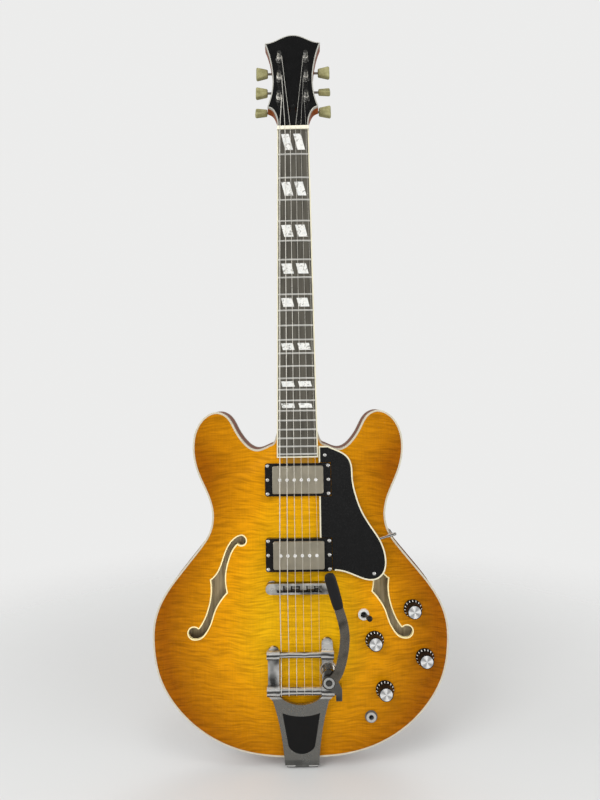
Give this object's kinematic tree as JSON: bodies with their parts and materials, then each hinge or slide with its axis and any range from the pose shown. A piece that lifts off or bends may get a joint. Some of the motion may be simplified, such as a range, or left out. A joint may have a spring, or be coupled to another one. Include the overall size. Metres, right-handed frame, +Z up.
{
  "type": "semi-hollow electric guitar",
  "caption": "Semi-hollow double-cutaway electric guitar with arched sunburst top, f-holes, hinged rocking tailpiece and swivelling handle.",
  "frame": {"origin": "middle of the end strap button's head, under the tail end of the body", "axes": "+Z up the body towards the headstock, +X to the right seen from the front, strings face -Y"},
  "size_m": [0.4116, 0.1401, 1.0624],
  "materials": {
    "sunburst_wood": "gloss",
    "inner_wood": "matt",
    "pale_binding": "gloss",
    "ebony": "satin",
    "black_gloss": "gloss",
    "pearl": "gloss",
    "fret_metal": "satin",
    "bone": "satin",
    "nickel": "polished",
    "coil_black": "matt",
    "knob_plastic": "gloss",
    "lever_metal": "polished",
    "pot_metal": "satin",
    "cast_aluminium": "satin",
    "inset_black": "matt",
    "spring_steel": "satin",
    "handle_steel": "polished",
    "grip_black": "matt"
  },
  "bodies": {
    "guitar": {"top_plate": "sunburst_wood", "back_plate": "sunburst_wood", "rim": "sunburst_wood", "neck": "sunburst_wood", "linings": "inner_wood", "centre_block": "inner_wood", "contour_braces": "inner_wood", "body_binding": "pale_binding", "f_hole_binding": "pale_binding", "neck_binding": "pale_binding", "pickguard_binding": "pale_binding", "fingerboard": "ebony", "headstock_veneer": "black_gloss", "truss_rod_cover": "black_gloss", "pickguard": "black_gloss", "pickup_rings": "black_gloss", "fret_inlays": "pearl", "frets": "fret_metal", "truss_rod": "fret_metal", "strings": "fret_metal", "nut": "bone", "tuner_housings": "nickel", "tuner_bushings": "nickel", "pickup_covers": "nickel", "pole_screws": "nickel", "bridge_body": "nickel", "bridge_saddles": "nickel", "bridge_posts": "nickel", "pickguard_bracket": "nickel", "output_jack": "nickel", "strap_buttons": "nickel", "screws": "nickel", "switch_body": "nickel", "pickup_coils": "coil_black", "control_pots": "pot_metal", "vibrato_frame": "cast_aluminium", "tail_hinge": "cast_aluminium", "frame_inset": "inset_black", "vibrato_spring": "spring_steel"},
    "tuner_key_1": {"tuner_key_1": "nickel"},
    "tuner_post_1": {"tuner_post_1": "nickel"},
    "tuner_key_2": {"tuner_key_2": "nickel"},
    "tuner_post_2": {"tuner_post_2": "nickel"},
    "tuner_key_3": {"tuner_key_3": "nickel"},
    "tuner_post_3": {"tuner_post_3": "nickel"},
    "tuner_key_4": {"tuner_key_4": "nickel"},
    "tuner_post_4": {"tuner_post_4": "nickel"},
    "tuner_key_5": {"tuner_key_5": "nickel"},
    "tuner_post_5": {"tuner_post_5": "nickel"},
    "tuner_key_6": {"tuner_key_6": "nickel"},
    "tuner_post_6": {"tuner_post_6": "nickel"},
    "knob_1": {"knob_1": "knob_plastic"},
    "knob_2": {"knob_2": "knob_plastic"},
    "knob_3": {"knob_3": "knob_plastic"},
    "knob_4": {"knob_4": "knob_plastic"},
    "switch_lever": {"switch_lever": "lever_metal"},
    "string_bar": {"string_bar": "nickel"},
    "tension_bar": {"tension_bar": "nickel"},
    "handle": {"vibrato_handle": "handle_steel", "handle_grip": "grip_black"}
  },
  "joints": [
    {"name": "key_1_turn", "type": "hinge", "parent": "guitar", "child": "tuner_key_1", "pos_m": [-0.0374, 0.02143, 0.92854], "axis": [1, 0, 0], "continuous": true},
    {"name": "post_1_turn", "type": "hinge", "parent": "guitar", "child": "tuner_post_1", "pos_m": [-0.0192, 0.02333, 0.93376], "axis": [0, 0.9397, -0.342], "continuous": true},
    {"name": "key_2_turn", "type": "hinge", "parent": "guitar", "child": "tuner_key_2", "pos_m": [-0.0374, 0.03439, 0.96416], "axis": [1, 0, 0], "continuous": true},
    {"name": "post_2_turn", "type": "hinge", "parent": "guitar", "child": "tuner_post_2", "pos_m": [-0.0192, 0.03629, 0.96937], "axis": [0, 0.9397, -0.342], "continuous": true},
    {"name": "key_3_turn", "type": "hinge", "parent": "guitar", "child": "tuner_key_3", "pos_m": [-0.0374, 0.04735, 0.99977], "axis": [1, 0, 0], "continuous": true},
    {"name": "post_3_turn", "type": "hinge", "parent": "guitar", "child": "tuner_post_3", "pos_m": [-0.0192, 0.04925, 1.00499], "axis": [0, 0.9397, -0.342], "continuous": true},
    {"name": "key_4_turn", "type": "hinge", "parent": "guitar", "child": "tuner_key_4", "pos_m": [0.0374, 0.04735, 0.99977], "axis": [1, 0, 0], "continuous": true},
    {"name": "post_4_turn", "type": "hinge", "parent": "guitar", "child": "tuner_post_4", "pos_m": [0.0192, 0.04925, 1.00499], "axis": [0, 0.9397, -0.342], "continuous": true},
    {"name": "key_5_turn", "type": "hinge", "parent": "guitar", "child": "tuner_key_5", "pos_m": [0.0374, 0.03439, 0.96416], "axis": [1, 0, 0], "continuous": true},
    {"name": "post_5_turn", "type": "hinge", "parent": "guitar", "child": "tuner_post_5", "pos_m": [0.0192, 0.03629, 0.96937], "axis": [0, 0.9397, -0.342], "continuous": true},
    {"name": "key_6_turn", "type": "hinge", "parent": "guitar", "child": "tuner_key_6", "pos_m": [0.0374, 0.02143, 0.92854], "axis": [1, 0, 0], "continuous": true},
    {"name": "post_6_turn", "type": "hinge", "parent": "guitar", "child": "tuner_post_6", "pos_m": [0.0192, 0.02333, 0.93376], "axis": [0, 0.9397, -0.342], "continuous": true},
    {"name": "knob_1_turn", "type": "hinge", "parent": "guitar", "child": "knob_1", "pos_m": [0.1559, -0.035, 0.21898], "axis": [0, -1, 0], "range_deg": [0, 300]},
    {"name": "knob_2_turn", "type": "hinge", "parent": "guitar", "child": "knob_2", "pos_m": [0.1717, -0.035, 0.15088], "axis": [0, -1, 0], "range_deg": [0, 300]},
    {"name": "knob_3_turn", "type": "hinge", "parent": "guitar", "child": "knob_3", "pos_m": [0.1019, -0.035, 0.17848], "axis": [0, -1, 0], "range_deg": [0, 300]},
    {"name": "knob_4_turn", "type": "hinge", "parent": "guitar", "child": "knob_4", "pos_m": [0.1155, -0.035, 0.10918], "axis": [0, -1, 0], "range_deg": [0, 300]},
    {"name": "lever_tilt", "type": "hinge", "parent": "guitar", "child": "switch_lever", "pos_m": [0.0873, -0.03101, 0.21428], "axis": [0, 0, 1], "range_deg": [-40, 0]},
    {"name": "string_bar_rock", "type": "hinge", "parent": "guitar", "child": "string_bar", "pos_m": [0, -0.04875, 0.11768], "axis": [1, 0, 0], "range_deg": [-5, 4], "stiffness_Nm_per_rad": 8, "deforming": ["vibrato_spring"]},
    {"name": "tension_bar_turn", "type": "hinge", "parent": "guitar", "child": "tension_bar", "pos_m": [0, -0.04465, 0.16448], "axis": [1, 0, 0], "range_deg": [-5.6, 6.9]},
    {"name": "handle_swivel", "type": "hinge", "parent": "string_bar", "child": "handle", "pos_m": [0.0377, -0.06225, 0.13508], "axis": [0, -1, 0], "range_deg": [-130, 20]}
  ],
  "couplings": [
    {"joint": "post_1_turn", "follows": "key_1_turn", "ratio": 0.066667},
    {"joint": "post_2_turn", "follows": "key_2_turn", "ratio": 0.066667},
    {"joint": "post_3_turn", "follows": "key_3_turn", "ratio": 0.066667},
    {"joint": "post_4_turn", "follows": "key_4_turn", "ratio": 0.066667},
    {"joint": "post_5_turn", "follows": "key_5_turn", "ratio": 0.066667},
    {"joint": "post_6_turn", "follows": "key_6_turn", "ratio": 0.066667},
    {"joint": "tension_bar_turn", "follows": "string_bar_rock", "ratio": -1.333}
  ]
}
